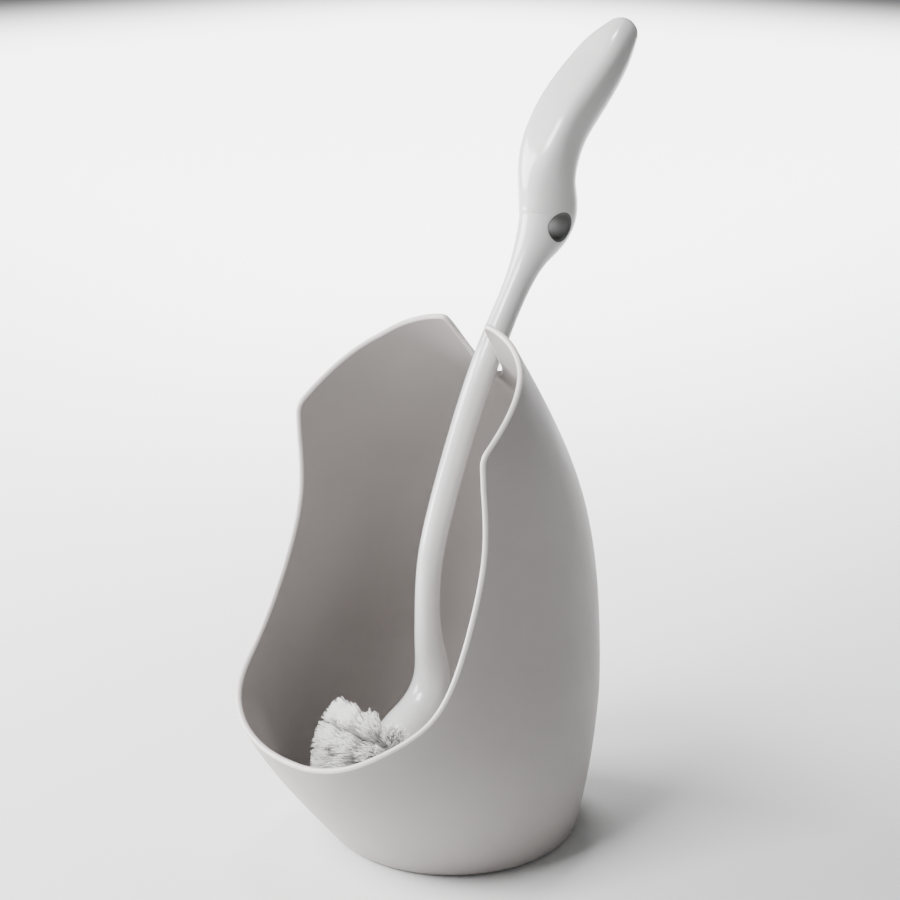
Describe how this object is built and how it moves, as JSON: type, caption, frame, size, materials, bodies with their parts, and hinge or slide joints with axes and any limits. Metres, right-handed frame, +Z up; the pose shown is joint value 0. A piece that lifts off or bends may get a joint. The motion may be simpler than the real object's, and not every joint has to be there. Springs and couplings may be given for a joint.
{
  "type": "toilet brush holder",
  "caption": "Free-standing moulded holder with a low scooped front lip and a notched back, with a tufted brush standing in it.",
  "frame": {"origin": "centre of the round foot, on the surface that the holder stands on", "axes": "+Z up, +Y to the notched back that the brush stem leans out over, -Y to the low front lip, X across, YZ the plane of symmetry"},
  "size_m": [0.1406, 0.2297, 0.3775],
  "materials": {
    "shell_plastic": "satin moulded polypropylene",
    "brush_plastic": "glossy moulded polypropylene",
    "bristle": "bundles of fine white filament, flared at the tips",
    "anchor_wire": "flat stainless wire"
  },
  "bodies": {
    "holder": {"holder_shell": "shell_plastic"},
    "brush": {"brush_handle": "brush_plastic", "tufts_end": "bristle", "tufts_ring_1": "bristle", "tufts_ring_2": "bristle", "tufts_ring_3": "bristle", "tufts_ring_4": "bristle", "tufts_ring_5": "bristle", "anchors_end": "anchor_wire", "anchors_ring_1": "anchor_wire", "anchors_ring_2": "anchor_wire", "anchors_ring_3": "anchor_wire", "anchors_ring_4": "anchor_wire", "anchors_ring_5": "anchor_wire"}
  },
  "joints": [
    {"name": "brush_lift", "type": "slide", "parent": "holder", "child": "brush", "axis": [0, 0, 1], "range_m": [0, 0.26]}
  ]
}
